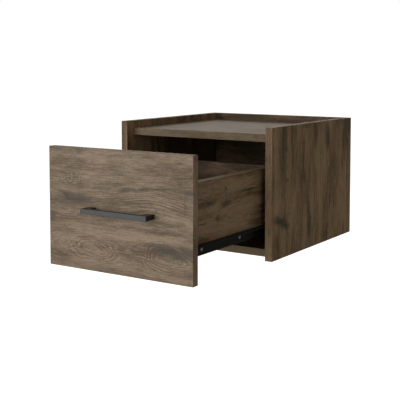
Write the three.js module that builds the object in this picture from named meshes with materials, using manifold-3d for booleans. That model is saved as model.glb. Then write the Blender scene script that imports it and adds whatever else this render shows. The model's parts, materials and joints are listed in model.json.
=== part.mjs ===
// Wall-hung nightstand with one drawer on roller slides, drawn in millimetres with +Z up.
// The origin is the middle of the face that lies on the wall. The drawer comes out towards -Y.
import * as THREE from 'three';
import { mergeVertices } from 'three/addons/utils/BufferGeometryUtils.js';
import Module from 'manifold-3d';

// Cabinet
const cabinetWidth = 360;
const cabinetDepth = 364;
const cabinetHeight = 256;
const boardThickness = 15;
const galleryHeight = 15; // sides and back above the shelf
const frontSetBack = 22; // shelf and bottom behind the front edges of the sides
const bottomLift = 3; // bottom panel above the lower edges of the sides

// Drawer
const closedRecess = 3; // how far its face lies behind the cabinet's front edges when shut
const railOverlap = 56; // what the rails of both sides still share with the drawer out as it is here
const travelPastHere = 6; // what the slides still allow from this place outwards
const frontSideGap = 3.5;
const frontHeadGap = 2; // between the front and the shelf over it
const frontFootGap = 0.5; // front above the lower edges of the sides
const boxHeight = 127;
const boxLift = 30.5; // drawer sides above the bottom panel
const trayThickness = 3; // hardboard bottom of the drawer
const trayLift = 14; // its groove above the lower edges of the drawer sides
const trayTongue = 5; // how far it reaches into its grooves

// Handle
const handleLength = 147;
const handleHeight = 9;
const handleReach = 25; // from the drawer's face to the front of the bar
const handleBar = 8.5; // depth of the bar
const handleLeg = 16;
const handleShift = 8; // its middle lies right of the drawer's middle
const handleLift = 0.75; // its middle lies above the front's middle
const handleHoles = 128;
const handleCorner = 1.2;
const handleScrewBite = 9; // screw thread inside a leg

// Roller slides
const slideStep = 50; // such slides come in multiples of this length
const slideSpace = 12.5; // between a drawer side and the cabinet's side
const sheet = 1.2; // steel of the rails
const drawerRailHeight = 20.5;
const underFlange = 13; // under the drawer side
const lipHeight = 2.6;
const sideRoom = 0.8; // between moving steel and fixed steel, sideways
const webRoom = 1.1; // between the channel's flanges and the drawer rail's web
const flangeRoom = 0.9; // between the drawer rail's flange and the channel's upper flange
const railStart = 2; // channel behind the back of the shut drawer front
const frontRollerRadius = 8.5;
const frontAxleInset = 12; // front axle behind the channel's front end
const rearAxleInset = 14; // rear axle ahead of the drawer rail's rear end
const flangeCut = 26; // top flange left off where the rear roller sits
const rollerChamfer = 0.7;
const axleRadius = 3;
const axleHeadRadius = 4.6;
const axleHead = 1;
const stopHeight = 2;
const stopLength = 3;

// Fasteners
const camRadius = 7.5;
const camSetBack = 24; // cam centre behind the joint
const camRoof = 2.6; // wood left above a cam
const camSink = 0.2; // face of a cam below the board
const blindWall = 4; // wood left behind a blind bore
const boltHeadRadius = 3.4;
const boltHeadLength = 3;
const boltNeckRadius = 2.2;
const boltNeckLength = 8;
const boltShankRadius = 3;
const boltThreadRadius = 2.8;
const dowelRadius = 4;
const dowelLength = 30;
const dowelBevel = 1;
const jointHoleStep = 64; // cam above dowel in the drawer's front corners
const camEdgeInset = 50; // cams from the front and rear ends of their joint
const backScrew = { shank: 2.6, length: 48, head: 5, cone: 3.2, sink: 0.3 };
const backScrewSpread = 210;
const boxScrew = { shank: 2, length: 42, head: 4, cone: 2.4, sink: 0.3 };
const boxScrewInset = 24; // from the upper and lower edge of the drawer back
const railScrew = { shank: 1.8, length: 11, head: 3.6, cone: 0, proud: 0.6 };
const wallRailScrew = { shank: 2.9, length: 11.5, head: 4.4, cone: 0, proud: 1.2 };
const handleScrew = { shank: 2, head: 4.2, cone: 0, proud: 2.4 };
const drawerScrewSpots = [23.5, 151.5]; // behind the back of the drawer front
const drawerScrewLift = 9.9; // above the lower edges of the drawer sides
const channelScrewSpots = [49, 241]; // behind the channel's front end
const wallHoleRadius = 3;
const wallHoleSpread = 256;
const recessWidth = 1.1;
const recessDepthShare = 0.6; // of a screw head's height or of a cam's recess width

// Clearances
const gap = 0.3; // round a fastener or a tongue
const runningGap = 0.3; // between rollers, axles and what they run on
const overrun = 2; // of a cutting tool past the face it opens

const roundSides = 24;
const smallSides = 12;
const camSides = 18;

// Places that follow from the sizes, in the cabinet's frame
const sideInner = cabinetWidth / 2 - boardThickness;
const topEdge = cabinetHeight / 2;
const lowerEdge = -topEdge;
const frontEdge = -cabinetDepth;
const backInner = -boardThickness;
const shelfTop = topEdge - galleryHeight;
const shelfUnder = shelfTop - boardThickness;
const bottomUnder = lowerEdge + bottomLift;
const bottomTop = bottomUnder + boardThickness;
const panelFront = frontEdge + frontSetBack;

// The longest slide that fits behind the shut drawer front sets the length of the drawer box
const channelFront = frontEdge + closedRecess + boardThickness + railStart;
const boxLength = Math.floor((backInner - channelFront) / slideStep) * slideStep;
const drawerOut = boxLength - closedRecess - railOverlap;

// The drawer's frame has y = 0 at the back of the drawer front
const drawerHome = frontEdge - drawerOut + boardThickness;
const frontLow = lowerEdge + frontFootGap;
const frontHigh = shelfUnder - frontHeadGap;
const frontHalf = sideInner - frontSideGap;
const boxOuter = sideInner - slideSpace;
const boxInner = boxOuter - boardThickness;
const boxLow = bottomTop + boxLift;
const boxHigh = boxLow + boxHeight;
const trayLow = boxLow + trayLift;
const trayHigh = trayLow + trayThickness;
const railFlangeUnder = boxLow + drawerRailHeight - sheet - sheet;

// Channel section, set out from the front roller that carries the drawer rail's flange
const frontAxleZ = railFlangeUnder - runningGap - frontRollerRadius;
const channelFloor = frontAxleZ - frontRollerRadius - runningGap;
const channelRoof = railFlangeUnder + sheet + flangeRoom;
const channelMid = (channelFloor + channelRoof) / 2;
const channelFlange = slideSpace - sheet - webRoom;
const rearRollerRadius = (channelRoof - channelFloor) / 2 - runningGap;
const lipReach = slideSpace - sheet - sideRoom;
const frontRollerStart = slideSpace - lipReach + sheet + sideRoom; // from the cabinet's side
const rollerWidth = slideSpace - sheet - sideRoom - axleHead - runningGap - frontRollerStart;
const rearRollerStart = slideSpace - channelFlange + runningGap; // from the drawer side
const frontAxleY = channelFront + frontAxleInset;
const rearAxleY = boxLength - rearAxleInset;

const wasm = await Module();
wasm.setup();

const axisX = new THREE.Vector3(1, 0, 0);
const axisY = new THREE.Vector3(0, 1, 0);
const axisZ = new THREE.Vector3(0, 0, 1);

const board = new THREE.MeshStandardMaterial({ color: 0x6a5646, roughness: 0.62, metalness: 0 });
const hardboard = new THREE.MeshStandardMaterial({ color: 0x4b3a2c, roughness: 0.8, metalness: 0 });
const beech = new THREE.MeshStandardMaterial({ color: 0xc79f6b, roughness: 0.75, metalness: 0 });
const blackSteel = new THREE.MeshStandardMaterial({ color: 0x17181a, roughness: 0.5, metalness: 0.3 });
const handleBlack = new THREE.MeshStandardMaterial({ color: 0x24282c, roughness: 0.45, metalness: 0.4 });
const nylon = new THREE.MeshStandardMaterial({ color: 0x2a2a2b, roughness: 0.55, metalness: 0 });
const zinc = new THREE.MeshStandardMaterial({ color: 0xa9abad, roughness: 0.35, metalness: 0.9 });

// A box between two opposite corners, given in any order
function block(from, to) {
  const a = new THREE.Vector3(...from);
  const b = new THREE.Vector3(...to);
  const size = b.clone().sub(a);
  const middle = a.add(b).divideScalar(2);
  const geometry = new THREE.BoxGeometry(Math.abs(size.x), Math.abs(size.y), Math.abs(size.z));
  return geometry.translate(middle.x, middle.y, middle.z);
}

// Turns a shape drawn along +Y towards another direction and moves its origin to a place
function aimed(geometry, place, direction) {
  const turn = new THREE.Quaternion().setFromUnitVectors(axisY, direction);
  return geometry.applyQuaternion(turn).translate(...place);
}

// A turned body from [radius, distance along the axis] pairs that start and end on the axis
function turned(profile, sides) {
  return new THREE.LatheGeometry(profile.map((point) => new THREE.Vector2(...point)), sides);
}

function rod(radius, place, direction, length, sides = smallSides) {
  const profile = [[0, 0], [radius, 0], [radius, length], [0, length]];
  return aimed(turned(profile, sides), place, direction);
}

// A round cutting tool that starts before the face it opens and ends at a depth past that face
function drill(radius, place, direction, depth, sides = smallSides) {
  const start = new THREE.Vector3(...place).addScaledVector(direction, -overrun);
  return rod(radius, start, direction, overrun + depth, sides);
}

// A section drawn in X and Z, carried along Y from one end to the other
function extrudedAlongY(outline, from, to) {
  const section = new THREE.Shape(outline.map((point) => new THREE.Vector2(...point)));
  const geometry = new THREE.ExtrudeGeometry(section, { depth: to - from, bevelEnabled: false });
  return geometry.rotateX(Math.PI / 2).translate(0, to, 0);
}

function solidOf(geometry) {
  const bare = geometry.clone();
  bare.deleteAttribute('normal');
  bare.deleteAttribute('uv');
  const merged = mergeVertices(bare);
  const vertProperties = new Float32Array(merged.attributes.position.array);
  const triVerts = new Uint32Array(merged.index.array);
  return new wasm.Manifold(new wasm.Mesh({ numProp: 3, vertProperties, triVerts }));
}

function geometryOf(solid) {
  const { vertProperties, triVerts } = solid.getMesh();
  const geometry = new THREE.BufferGeometry();
  geometry.setAttribute('position', new THREE.BufferAttribute(vertProperties, 3));
  geometry.setIndex(new THREE.BufferAttribute(triVerts, 1));
  geometry.computeVertexNormals();
  return geometry;
}

// Takes the tools away from a body, after the additions are joined to it
function worked(body, tools, additions = []) {
  let solid = solidOf(body);
  for (const addition of additions) {
    solid = solid.add(solidOf(addition));
  }
  for (const tool of tools) {
    solid = solid.subtract(solidOf(tool));
  }
  return geometryOf(solid);
}

function addPiece(group, name, geometry, material) {
  const mesh = new THREE.Mesh(geometry, material);
  mesh.name = name;
  group.add(mesh);
  return mesh;
}

// Two crossed slots cut into a face that looks back along the driving direction
function crossRecess(radius, depth, top) {
  const half = recessWidth / 2;
  return [
    block([-radius, top - overrun, -half], [radius, top + depth, half]),
    block([-half, top - overrun, -radius], [half, top + depth, radius]),
  ];
}

// A screw that is driven along +Y, with y = 0 at the surface that it enters
function screwShape({ shank, length, head, cone, sink = 0, proud = 0 }) {
  const top = sink - proud;
  const neck = sink + cone;
  const tip = length - shank;
  const profile = [[0, top], [head, top], [head, sink], [shank, neck], [shank, tip], [0, length]];
  const depth = recessDepthShare * (neck - top);
  return worked(turned(profile, smallSides), crossRecess(head - recessWidth, depth, top));
}

// The hole that such a screw sits in
function screwBore({ shank, length, head, cone, sink = 0 }) {
  if (cone === 0) {
    return turned([[0, -overrun], [shank + gap, -overrun], [shank + gap, length + gap],
      [0, length + gap]], smallSides);
  }
  const profile = [[0, -overrun], [head + gap, -overrun], [head + gap, sink], [shank + gap, sink + cone],
    [shank + gap, length + gap], [0, length + gap]];
  return turned(profile, smallSides);
}

// Cam joint: +Y runs from the cam's centre towards the other board, and +Z runs from the face
// that the cam is dropped into towards the board's middle. The bolt lies on the board's mid-plane.
const camHeight = boardThickness - camRoof;
const boltAxisZ = boardThickness / 2;
const boltHeadStart = -boltHeadLength / 2;
const boltNeckEnd = boltHeadStart + boltHeadLength + boltNeckLength;
const boltThreadLength = boardThickness - blindWall;
const boltEnd = camSetBack + boltThreadLength;

function camShape() {
  const body = rod(camRadius, [0, 0, camSink], axisZ, camHeight, camSides);
  const headHollow = rod(boltHeadRadius + gap, [0, boltHeadStart - gap, boltAxisZ], axisY,
    boltHeadLength + gap + gap);
  const neckHollow = rod(boltNeckRadius + gap, [0, 0, boltAxisZ], axisY, camRadius + overrun);
  const half = recessWidth / 2;
  const reach = camRadius / 2;
  const depth = camSink + recessDepthShare * recessWidth;
  const recess = [
    block([-reach, -half, -overrun], [reach, half, depth]),
    block([-half, -reach, -overrun], [half, reach, depth]),
  ];
  return worked(body, [headHollow, neckHollow, ...recess]);
}

function boltShape() {
  const profile = [[0, boltHeadStart], [boltHeadRadius, boltHeadStart],
    [boltHeadRadius, boltHeadStart + boltHeadLength], [boltNeckRadius, boltHeadStart + boltHeadLength],
    [boltNeckRadius, boltNeckEnd], [boltShankRadius, boltNeckEnd], [boltShankRadius, camSetBack],
    [boltThreadRadius, camSetBack], [boltThreadRadius, boltEnd - boltThreadRadius], [0, boltEnd]];
  return turned(profile, smallSides).translate(0, 0, boltAxisZ);
}

// Hollow for the cam and the bolt in the board that holds the cam
function camPocket() {
  return [
    drill(camRadius + gap, [0, 0, 0], axisZ, camSink + camHeight + gap, camSides),
    rod(boltShankRadius + gap, [0, 0, boltAxisZ], axisY, camSetBack + overrun),
  ];
}

function boltBore() {
  return drill(boltThreadRadius + gap, [0, camSetBack, boltAxisZ], axisY, boltThreadLength + gap);
}

// Frame of a cam joint from the cam's place, the way to the other board and the way into this one
function jointFrame(place, towards, inwards) {
  const across = towards.clone().cross(inwards);
  return new THREE.Matrix4().makeBasis(across, towards, inwards).setPosition(...place);
}

function inFrame(geometries, frame) {
  return geometries.map((geometry) => geometry.applyMatrix4(frame));
}

// Nodes of one cam joint
function addCamJoint(group, camName, boltName, frame) {
  for (const [name, geometry] of [[camName, camShape()], [boltName, boltShape()]]) {
    const mesh = addPiece(group, name, geometry, zinc);
    frame.decompose(mesh.position, mesh.quaternion, mesh.scale);
  }
}

function addScrew(group, name, size, place, direction) {
  const mesh = addPiece(group, name, screwShape(size), zinc);
  mesh.position.set(...place);
  mesh.quaternion.setFromUnitVectors(axisY, direction);
}

// Axle riveted through a rail, with its nylon roller. The axle starts at the board's face.
function addAxleAndRoller(group, word, side, place, direction, start, radius) {
  const end = start + rollerWidth;
  const headStart = end + runningGap;
  const bore = axleRadius + runningGap;
  const rim = radius - rollerChamfer;
  const axle = turned([[0, 0], [axleRadius, 0], [axleRadius, headStart], [axleHeadRadius, headStart],
    [axleHeadRadius, headStart + axleHead], [0, headStart + axleHead]], smallSides);
  const roller = turned([[bore, start], [rim, start], [radius, start + rollerChamfer],
    [radius, end - rollerChamfer], [rim, end], [bore, end], [bore, start]], roundSides);
  const meshes = [
    addPiece(group, `${word}_rail_axle_${side.word}`, axle, zinc),
    addPiece(group, `${word}_roller_${side.word}`, roller, nylon),
  ];
  for (const mesh of meshes) {
    mesh.position.set(...place);
    mesh.quaternion.setFromUnitVectors(axisY, direction);
  }
}

const sides = [{ word: 'left', sign: -1 }, { word: 'right', sign: 1 }];
const outwards = ({ sign }) => axisX.clone().multiplyScalar(sign);
const inwards = ({ sign }) => axisX.clone().multiplyScalar(-sign);
const backwards = axisY;
const forwards = axisY.clone().negate();

// Cabinet

const cabinet = new THREE.Group();

const shelfCamSpots = [
  { word: 'front', y: panelFront + camEdgeInset },
  { word: 'rear', y: backInner - camEdgeInset },
];
const bottomCamSpots = [{ word: 'front', y: panelFront + camEdgeInset }];

// Cam joints of the shelf or the bottom, with their frames
function panelJoints(under, spots) {
  return sides.flatMap((side) => spots.map((spot) => {
    const place = [side.sign * (sideInner - camSetBack), spot.y, under];
    return { side, spot, frame: jointFrame(place, outwards(side), axisZ) };
  }));
}

const shelfJoints = panelJoints(shelfUnder, shelfCamSpots);
const bottomJoints = panelJoints(bottomUnder, bottomCamSpots);

const backScrewPlaces = [
  { word: 'shelf', z: shelfUnder + boardThickness / 2 },
  { word: 'bottom', z: bottomUnder + boardThickness / 2 },
].flatMap(({ word, z }) => sides.map((side) => ({
  name: `back_screw_${word}_${side.word}`, place: [side.sign * backScrewSpread / 2, 0, z],
})));

function panelBetweenSides(under, joints) {
  const body = block([-sideInner, panelFront, under], [sideInner, backInner, under + boardThickness]);
  const pockets = joints.flatMap(({ frame }) => inFrame(camPocket(), frame));
  const screwTails = backScrewPlaces.map(({ place }) => aimed(screwBore(backScrew), place, forwards));
  return worked(body, [...pockets, ...screwTails]);
}

addPiece(cabinet, 'top_shelf', panelBetweenSides(shelfUnder, shelfJoints), board);
addPiece(cabinet, 'bottom_panel', panelBetweenSides(bottomUnder, bottomJoints), board);

for (const { side, spot, frame } of shelfJoints) {
  const tail = `${side.word}_${spot.word}`;
  addCamJoint(cabinet, `shelf_cam_${tail}`, `shelf_bolt_${tail}`, frame);
}
for (const { side, frame } of bottomJoints) {
  addCamJoint(cabinet, `bottom_cam_${side.word}`, `bottom_bolt_${side.word}`, frame);
}

// Wall holes: one row over the drawer box, one row under it
const wallHoleRows = [(boxHigh + shelfUnder) / 2, (bottomTop + boxLow) / 2];
const wallHoles = wallHoleRows.flatMap((z) => sides.map(({ sign }) => {
  const place = [sign * wallHoleSpread / 2, backInner, z];
  return drill(wallHoleRadius, place, backwards, boardThickness + overrun);
}));
const backScrewBores = backScrewPlaces.map(({ place }) => aimed(screwBore(backScrew), place, forwards));
const backBody = block([-sideInner, backInner, lowerEdge], [sideInner, 0, topEdge]);
addPiece(cabinet, 'back_panel', worked(backBody, [...wallHoles, ...backScrewBores]), board);
for (const { name, place } of backScrewPlaces) {
  addScrew(cabinet, name, backScrew, place, forwards);
}

// Channel of the slide: a C that opens towards the drawer, with its front roller and two stops.
// The outline's first number is measured from the cabinet's side.
function channelOutline(side) {
  const points = [
    [0, channelFloor - sheet], [channelFlange, channelFloor - sheet], [channelFlange, channelFloor],
    [sheet, channelFloor], [sheet, channelRoof], [channelFlange, channelRoof],
    [channelFlange, channelRoof + sheet], [0, channelRoof + sheet],
  ];
  return points.map(([reach, z]) => [side.sign * (sideInner - reach), z]);
}

// Distance from the rear roller's axle to a stop that its rim meets
const rimOverStop = rearRollerRadius + runningGap - stopHeight;
const stopReach = Math.sqrt(rearRollerRadius ** 2 - rimOverStop ** 2) + runningGap;
const rearAxleShut = frontEdge + closedRecess + boardThickness + rearAxleY;
const rearAxleOut = drawerHome - travelPastHere + rearAxleY;
const stopPlaces = [
  [rearAxleOut - stopReach - stopLength, rearAxleOut - stopReach],
  [rearAxleShut + stopReach, rearAxleShut + stopReach + stopLength],
];

for (const side of sides) {
  const wallX = side.sign * sideInner;
  const frontAxle = [wallX, frontAxleY, frontAxleZ];
  const channelScrews = channelScrewSpots.map((spot) => [
    side.sign * (sideInner - sheet), channelFront + spot, channelMid,
  ]);
  const screwBores = channelScrews.map((place) => aimed(screwBore(wallRailScrew), place, outwards(side)));

  const bores = [...shelfJoints, ...bottomJoints].filter((joint) => joint.side === side)
    .flatMap(({ frame }) => inFrame([boltBore()], frame));
  const body = block([wallX, frontEdge, lowerEdge], [side.sign * cabinetWidth / 2, 0, topEdge]);
  addPiece(cabinet, `side_panel_${side.word}`, worked(body, [...bores, ...screwBores]), board);

  const channel = extrudedAlongY(channelOutline(side), channelFront, channelFront + boxLength);
  const stops = stopPlaces.map(([from, to]) => block(
    [side.sign * (sideInner - sheet), from, channelFloor - sheet],
    [side.sign * (sideInner - channelFlange), to, channelFloor + stopHeight],
  ));
  const axleHole = drill(axleRadius + gap, frontAxle, inwards(side), sheet + overrun);
  const rail = worked(channel, [axleHole, ...screwBores], stops);
  addPiece(cabinet, `cabinet_rail_${side.word}`, rail, blackSteel);
  channelScrews.forEach((place, index) => {
    const word = index === 0 ? 'front' : 'rear';
    addScrew(cabinet, `cabinet_rail_screw_${side.word}_${word}`, wallRailScrew, place, outwards(side));
  });
  addAxleAndRoller(cabinet, 'cabinet', side, frontAxle, inwards(side), frontRollerStart, frontRollerRadius);
}

// Drawer

const drawer = new THREE.Group();
drawer.position.y = drawerHome;

const cornerMidZ = (boxLow + boxHigh) / 2;
const camZ = cornerMidZ + jointHoleStep / 2;
const dowelZ = cornerMidZ - jointHoleStep / 2;
const boxMidX = boxOuter - boardThickness / 2;
const drawerJoints = sides.map((side) => ({
  side, frame: jointFrame([side.sign * boxInner, camSetBack, camZ], forwards, outwards(side)),
}));
const dowelInFront = boardThickness - blindWall - gap;
const dowelPlaces = sides.map((side) => [side.sign * boxMidX, -dowelInFront, dowelZ]);
const dowelBores = () => dowelPlaces.map(([x, y, z]) => rod(
  dowelRadius + gap, [x, y - gap, z], backwards, dowelLength + gap + gap,
));
const trayGroove = (reach, from, to) => block([-reach, from, trayLow - gap], [reach, to, trayHigh + gap]);

// Bar with a leg at each end, seen from above; the corners are cut by a small chamfer
function handleOutline() {
  const half = handleLength / 2;
  const face = -boardThickness;
  const bar = face - handleReach;
  const inner = bar + handleBar;
  const points = [
    [-half, face], [-half, bar + handleCorner], [-half + handleCorner, bar], [half - handleCorner, bar],
    [half, bar + handleCorner], [half, face], [half - handleLeg, face], [half - handleLeg, inner],
    [-half + handleLeg, inner], [-half + handleLeg, face],
  ];
  return points.map(([x, y]) => new THREE.Vector2(x + handleShift, y));
}

const handleMidZ = (frontLow + frontHigh) / 2 + handleLift;
const handleScrewLength = boardThickness + handleScrewBite;
const handleScrewPlaces = sides.map(({ sign }) => [handleShift + sign * handleHoles / 2, 0, handleMidZ]);
const handleScrewSize = { ...handleScrew, length: handleScrewLength };
const handleScrewBores = () => handleScrewPlaces.map((place) => aimed(
  screwBore(handleScrewSize), place, forwards,
));

const frontBody = block([-frontHalf, -boardThickness, frontLow], [frontHalf, 0, frontHigh]);
addPiece(drawer, 'drawer_front', worked(frontBody, [
  ...drawerJoints.flatMap(({ frame }) => inFrame([boltBore()], frame)),
  ...dowelBores(),
  ...handleScrewBores(),
  trayGroove(boxInner + trayTongue + gap, -trayTongue - gap, overrun),
]), board);

const handleBody = new THREE.ExtrudeGeometry(new THREE.Shape(handleOutline()), {
  depth: handleHeight, bevelEnabled: false,
}).translate(0, 0, handleMidZ - handleHeight / 2);
addPiece(drawer, 'handle', worked(handleBody, handleScrewBores()), handleBlack);
handleScrewPlaces.forEach((place, index) => {
  addScrew(drawer, `handle_screw_${sides[index].word}`, handleScrewSize, place, forwards);
});

const boxScrewRows = [
  { word: 'lower', z: trayHigh + boxScrewInset },
  { word: 'upper', z: boxHigh - boxScrewInset },
];
const boxScrews = sides.flatMap((side) => boxScrewRows.map(({ word, z }) => ({
  side, name: `drawer_back_screw_${side.word}_${word}`,
  place: [side.sign * boxOuter, boxLength - boardThickness / 2, z],
})));
const boxScrewBores = () => boxScrews.map(({ side, place }) => aimed(
  screwBore(boxScrew), place, inwards(side),
));

const drawerBackFace = boxLength - boardThickness;
const drawerBackBody = block([-boxInner, drawerBackFace, trayHigh], [boxInner, boxLength, boxHigh]);
addPiece(drawer, 'drawer_back', worked(drawerBackBody, boxScrewBores()), board);
const trayReach = boxInner + trayTongue;
addPiece(drawer, 'drawer_bottom',
  block([-trayReach, -trayTongue, trayLow], [trayReach, boxLength, trayHigh]), hardboard);
for (const { side, name, place } of boxScrews) {
  addScrew(drawer, name, boxScrew, place, inwards(side));
}
for (const { side, frame } of drawerJoints) {
  addCamJoint(drawer, `drawer_cam_${side.word}`, `drawer_bolt_${side.word}`, frame);
}
dowelPlaces.forEach((place, index) => {
  const rim = dowelRadius - dowelBevel;
  const profile = [[0, 0], [rim, 0], [dowelRadius, dowelBevel], [dowelRadius, dowelLength - dowelBevel],
    [rim, dowelLength], [0, dowelLength]];
  const dowel = turned(profile, smallSides);
  addPiece(drawer, `drawer_dowel_${sides[index].word}`, dowel, beech).position.set(...place);
});

// Drawer rail: a flange under the drawer side, a web up its outer face and a flange with a small
// lip that rides on the front roller. The outline's first number is measured from the drawer side.
function drawerRailOutline(side) {
  const top = boxLow + drawerRailHeight - sheet;
  const points = [
    [-underFlange, boxLow - sheet], [sheet, boxLow - sheet], [sheet, railFlangeUnder],
    [lipReach - sheet, railFlangeUnder], [lipReach - sheet, railFlangeUnder - lipHeight],
    [lipReach, railFlangeUnder - lipHeight], [lipReach, top], [0, top], [0, boxLow], [-underFlange, boxLow],
  ];
  return points.map(([reach, z]) => [side.sign * (boxOuter + reach), z]);
}

for (const side of sides) {
  const outerX = side.sign * boxOuter;
  const rearAxle = [outerX, rearAxleY, channelMid];
  const railScrews = drawerScrewSpots.map((spot) => [
    side.sign * (boxOuter + sheet), spot, boxLow + drawerScrewLift,
  ]);
  const screwBores = railScrews.map((place) => aimed(screwBore(railScrew), place, inwards(side)));

  const sideBody = block([side.sign * boxInner, 0, boxLow], [outerX, boxLength, boxHigh]);
  addPiece(drawer, `drawer_side_${side.word}`, worked(sideBody, [
    ...drawerJoints.flatMap(({ frame }) => inFrame(camPocket(), frame)),
    ...dowelBores(),
    ...boxScrewBores(),
    ...screwBores,
    trayGroove(trayReach + gap, -overrun, boxLength + overrun),
  ]), board);

  const profile = extrudedAlongY(drawerRailOutline(side), 0, boxLength);
  const rollerRoom = block(
    [side.sign * (boxOuter + sheet), boxLength - flangeCut, railFlangeUnder - lipHeight - overrun],
    [side.sign * (boxOuter + slideSpace), boxLength + overrun, railFlangeUnder + sheet + overrun],
  );
  const axleHole = drill(axleRadius + gap, rearAxle, outwards(side), sheet + overrun);
  const rail = worked(profile, [rollerRoom, axleHole, ...screwBores]);
  addPiece(drawer, `drawer_rail_${side.word}`, rail, blackSteel);
  railScrews.forEach((place, index) => {
    const word = index === 0 ? 'front' : 'rear';
    addScrew(drawer, `drawer_rail_screw_${side.word}_${word}`, railScrew, place, inwards(side));
  });
  addAxleAndRoller(drawer, 'drawer', side, rearAxle, outwards(side), rearRollerStart, rearRollerRadius);
}

const nightstand = new THREE.Group();
nightstand.add(cabinet, drawer);
export default nightstand;
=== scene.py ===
import json
import math

import bpy
import numpy as np
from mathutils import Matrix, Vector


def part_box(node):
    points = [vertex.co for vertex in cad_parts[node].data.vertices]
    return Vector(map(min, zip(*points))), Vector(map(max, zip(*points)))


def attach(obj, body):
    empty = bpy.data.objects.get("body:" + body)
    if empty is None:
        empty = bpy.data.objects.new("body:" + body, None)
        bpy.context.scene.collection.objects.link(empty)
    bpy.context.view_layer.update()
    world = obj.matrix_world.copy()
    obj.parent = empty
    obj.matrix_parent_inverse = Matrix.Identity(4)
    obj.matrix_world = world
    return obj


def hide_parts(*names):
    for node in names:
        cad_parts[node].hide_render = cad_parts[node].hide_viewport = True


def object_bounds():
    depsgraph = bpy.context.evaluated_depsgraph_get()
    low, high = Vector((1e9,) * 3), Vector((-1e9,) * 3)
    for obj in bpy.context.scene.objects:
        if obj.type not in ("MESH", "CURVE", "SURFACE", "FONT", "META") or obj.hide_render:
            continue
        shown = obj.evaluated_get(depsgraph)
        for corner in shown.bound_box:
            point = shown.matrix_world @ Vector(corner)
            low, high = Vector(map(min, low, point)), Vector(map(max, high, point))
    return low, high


# Wall-hung nightstand with its drawer out, in metres. +Z is up, the wall lies at y = 0, and the drawer
# comes out towards -Y.
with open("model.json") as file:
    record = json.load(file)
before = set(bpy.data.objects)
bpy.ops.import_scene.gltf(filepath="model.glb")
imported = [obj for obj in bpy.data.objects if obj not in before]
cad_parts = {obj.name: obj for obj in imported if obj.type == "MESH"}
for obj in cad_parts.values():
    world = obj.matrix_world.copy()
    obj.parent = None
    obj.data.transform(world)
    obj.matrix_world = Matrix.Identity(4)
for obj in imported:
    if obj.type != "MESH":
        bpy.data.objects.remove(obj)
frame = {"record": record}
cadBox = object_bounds()
mm = 0.001

bodies = frame["record"]["behaviour"]["bodies"]
bodyOfNode = {node: body for body, nodes in bodies.items() for node in nodes}
slotOfNode = {row["node"]: row["material_slot"] for row in frame["record"]["subparts"]}

# Camera of the photograph, found from the measured edges of the boards
photoCamera = {
    "place": (0.97911, -1.83055, 0.25389),
    "turn": 33.2582,  # degrees to the left of +Y
    "dip": 3.8165,  # degrees below the horizon
    "lens": 79.915, "sensor": 36,  # both in mm
    "shift": -0.20,
}


# Camera turned about +Z after it is raised from straight down to just below the horizon
def addCamera(view):
    data = bpy.data.cameras.new("photoCamera")
    data.lens = view["lens"]
    data.sensor_width = view["sensor"]
    data.shift_y = view["shift"]
    data.dof.use_dof = False
    camera = bpy.data.objects.new("photoCamera", data)
    camera.location = view["place"]
    camera.rotation_euler = (math.radians(90 - view["dip"]), 0, math.radians(view["turn"]))
    bpy.context.scene.collection.objects.link(camera)
    bpy.context.scene.camera = camera


addCamera(photoCamera)
print("camera placed")


# Node helpers: one adds a node and fills its sockets, the others give back an output socket
def addNode(tree, kind, sockets=None, **settings):
    node = tree.nodes.new("ShaderNode" + kind)
    for name, value in settings.items():
        setattr(node, name, value)
    for socket, value in (sockets or {}).items():
        if isinstance(value, bpy.types.NodeSocket):
            tree.links.new(value, node.inputs[socket])
        else:
            node.inputs[socket].default_value = value
    return node


def calc(tree, operation, a, b=0.0, c=0.0, clamp=False):
    node = addNode(tree, "Math", {0: a, 1: b, 2: c}, operation=operation, use_clamp=clamp)
    return node.outputs[0]


def times(tree, a, b, clamp=False):
    return calc(tree, "MULTIPLY", a, b, clamp=clamp)


# a * b + c
def timesPlus(tree, a, b, c):
    return calc(tree, "MULTIPLY_ADD", a, b, c)


def vectorCalc(tree, operation, a, b=(0, 0, 0), c=(0, 0, 0)):
    node = addNode(tree, "VectorMath", {0: a, 1: b, 2: c}, operation=operation)
    return node.outputs["Value" if operation == "DOT_PRODUCT" else "Vector"]


# Fractal noise at place * stretch + start, about 0.5 on average
def cloud(tree, place, stretch, detail=3.0, roughness=0.55, start=(0, 0, 0)):
    stretched = vectorCalc(tree, "MULTIPLY_ADD", place, stretch, start)
    return addNode(tree, "TexNoise", {
        "Vector": stretched, "Scale": 1.0, "Detail": detail, "Roughness": roughness,
    }).outputs["Fac"]


# S-curve from toLow to toHigh while the value goes from low to high
def eased(tree, value, low, high, toLow=0.0, toHigh=1.0):
    return addNode(tree, "MapRange", {
        "Value": value, "From Min": low, "From Max": high, "To Min": toLow, "To Max": toHigh,
    }, interpolation_type="SMOOTHSTEP").outputs["Result"]


# first * (1 - share) + second * share, unless another blend is named
def blended(tree, share, first, second, blend="MIX"):
    node = addNode(tree, "Mix", {"Factor": share}, data_type="RGBA", blend_type=blend)
    for socket, value in ((node.inputs[6], first), (node.inputs[7], second)):
        if isinstance(value, bpy.types.NodeSocket):
            tree.links.new(value, socket)
        else:
            socket.default_value = (*value, 1)
    return node.outputs[2]


# Colours at even steps from low to high
def rampOf(tree, share, low, high, *colours):
    node = addNode(tree, "ValToRGB", {"Fac": share})
    elements = node.color_ramp.elements
    while len(elements) < len(colours):
        elements.new(1)
    for element, position, colour in zip(elements, np.linspace(low, high, len(colours)), colours):
        element.position = position
        element.color = (*colour, 1)
    return node.outputs["Color"]


# Material whose shader has these values on its own sockets
def newMaterial(name, constants):
    material = bpy.data.materials.new(name)
    material.use_nodes = True
    tree = material.node_tree
    for socket, value in constants.items():
        tree.nodes["Principled BSDF"].inputs[socket].default_value = value
    return material, tree


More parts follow.
